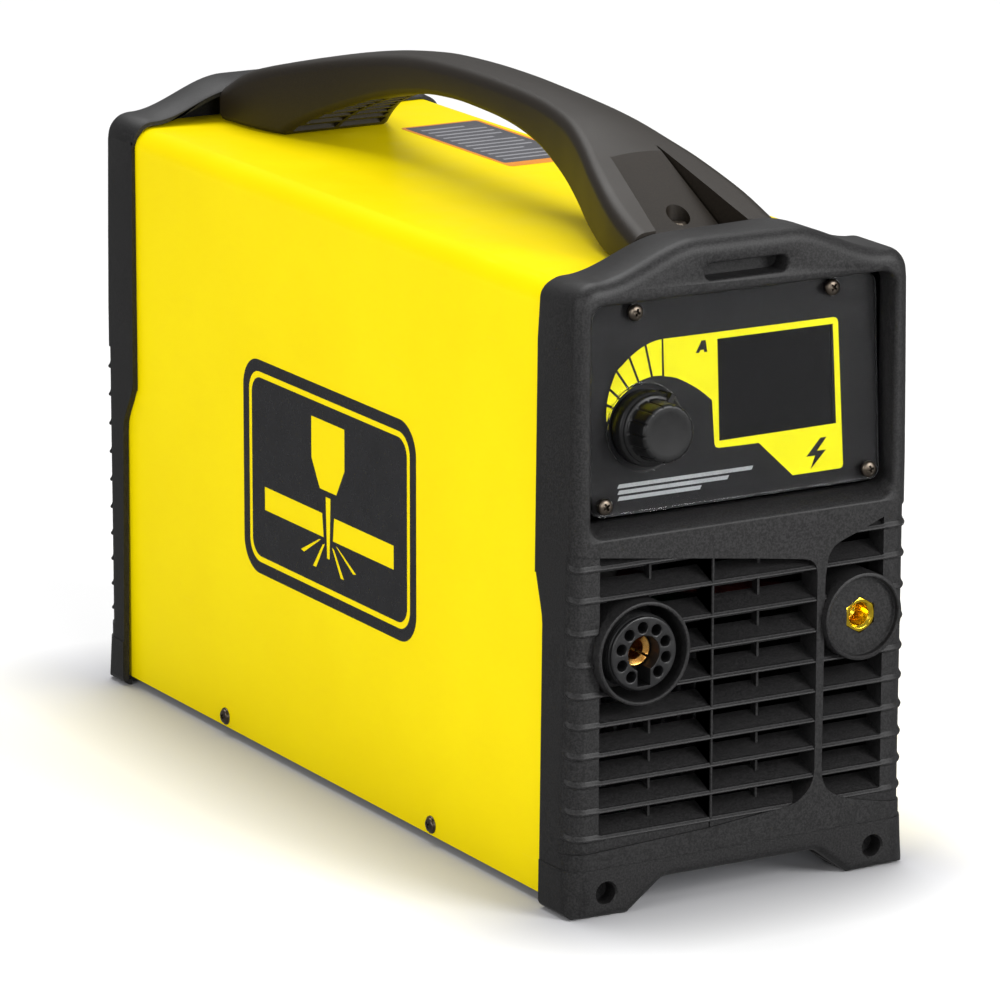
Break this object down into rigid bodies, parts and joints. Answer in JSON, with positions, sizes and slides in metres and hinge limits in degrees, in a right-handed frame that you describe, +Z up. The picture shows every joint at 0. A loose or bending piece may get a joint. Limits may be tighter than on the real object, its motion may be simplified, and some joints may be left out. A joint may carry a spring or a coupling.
{
  "type": "plasma cutter unit",
  "caption": "Portable plasma cutter power source: folded steel cover between moulded end bezels, arched carrying handle, control panel, torch socket, work terminal and cooling louvres.",
  "frame": {"origin": "on the floor under the middle of the machine's bounding box", "axes": "+Z up, the front with the control panel faces -Y, +X is on the right of someone looking at the front"},
  "size_m": [0.1872, 0.5021, 0.3562],
  "materials": {
    "charcoal": "fine textured charcoal plastic",
    "yellow_paint": "glossy yellow powder coat",
    "handle_plastic": "satin charcoal plastic",
    "tray_steel": "dark galvanised sheet",
    "dark_screws": "dark passivated steel",
    "clear_shield": "clear polycarbonate",
    "panel_print": "printed black polycarbonate",
    "display_glass": "unlit display window",
    "knob_plastic": "satin black",
    "black_nylon": "black nylon",
    "rocker_plastic": "gloss black",
    "copper": "bare copper alloy",
    "brass": "turned brass",
    "plated_steel": "zinc plated steel",
    "fan_plastic": "black moulded",
    "aluminium": "extruded, clear anodised",
    "module_epoxy": "moulded epoxy",
    "circuit_board": "green solder mask",
    "capacitor_sleeve": "dark blue sleeve",
    "ferrite": "bare ferrite",
    "filter_bowl": "translucent bowl",
    "air_hose": "blue polyurethane tube",
    "lead_jacket": "red silicone jacket"
  },
  "bodies": {
    "root": {"front_bezel": "charcoal", "rear_bezel": "charcoal", "torch_socket_hood": "charcoal", "work_terminal_boss": "charcoal", "cover": "yellow_paint", "handle": "handle_plastic", "base_tray": "tray_steel", "handle_screw_front": "dark_screws", "handle_screw_rear": "dark_screws", "cover_screw_1": "dark_screws", "cover_screw_2": "dark_screws", "cover_screw_3": "dark_screws", "cover_screw_4": "dark_screws", "panel_screw_1": "dark_screws", "panel_screw_2": "dark_screws", "panel_screw_3": "dark_screws", "panel_screw_4": "dark_screws", "panel_shield": "clear_shield", "panel_overlay": "panel_print", "display_module": "display_glass", "torch_socket_body": "black_nylon", "power_switch_frame": "black_nylon", "cable_gland_body": "black_nylon", "cable_gland_cap": "black_nylon", "torch_contact": "copper", "transformer_winding": "copper", "work_terminal_insert": "brass", "air_inlet": "brass", "air_valve_body": "brass", "encoder_body": "plated_steel", "cable_gland_nut": "plated_steel", "fan_frame": "fan_plastic", "heatsink_primary": "aluminium", "heatsink_secondary": "aluminium", "igbt_module_1": "module_epoxy", "igbt_module_2": "module_epoxy", "rectifier_module": "module_epoxy", "input_bridge": "module_epoxy", "soft_start_relay": "module_epoxy", "air_valve_coil": "module_epoxy", "pressure_switch": "module_epoxy", "power_board": "circuit_board", "control_board": "circuit_board", "bulk_capacitor_1": "capacitor_sleeve", "bulk_capacitor_2": "capacitor_sleeve", "bulk_capacitor_3": "capacitor_sleeve", "transformer_core": "ferrite", "mains_filter_choke": "ferrite", "output_choke": "ferrite", "air_filter": "filter_bowl", "inlet_hose": "air_hose", "filter_hose": "air_hose", "torch_hose": "air_hose", "work_lead": "lead_jacket"},
    "knob": {"control_knob": "knob_plastic", "knob_shaft": "plated_steel"},
    "rocker": {"power_rocker": "rocker_plastic"},
    "rotor": {"fan_rotor": "fan_plastic"},
    "plunger": {"air_valve_plunger": "plated_steel"}
  },
  "joints": [
    {"name": "knob_turn", "type": "hinge", "parent": "root", "child": "knob", "pos_m": [-0.0485, -0.23056, 0.22932], "axis": [0, -0.9984, 0.057], "range_deg": [-115, 185]},
    {"name": "rocker_tilt", "type": "hinge", "parent": "root", "child": "rocker", "pos_m": [-0.044, 0.2269, 0.24], "axis": [1, 0, 0], "range_deg": [0, 16]},
    {"name": "fan_spin", "type": "hinge", "parent": "root", "child": "rotor", "pos_m": [0, 0.21, 0.097], "axis": [0, 1, 0], "continuous": true},
    {"name": "plunger_lift", "type": "slide", "parent": "root", "child": "plunger", "axis": [0, 0, 1], "range_m": [0, 0.0025], "stiffness_N_per_m": 400, "springref_m": -0.001}
  ]
}
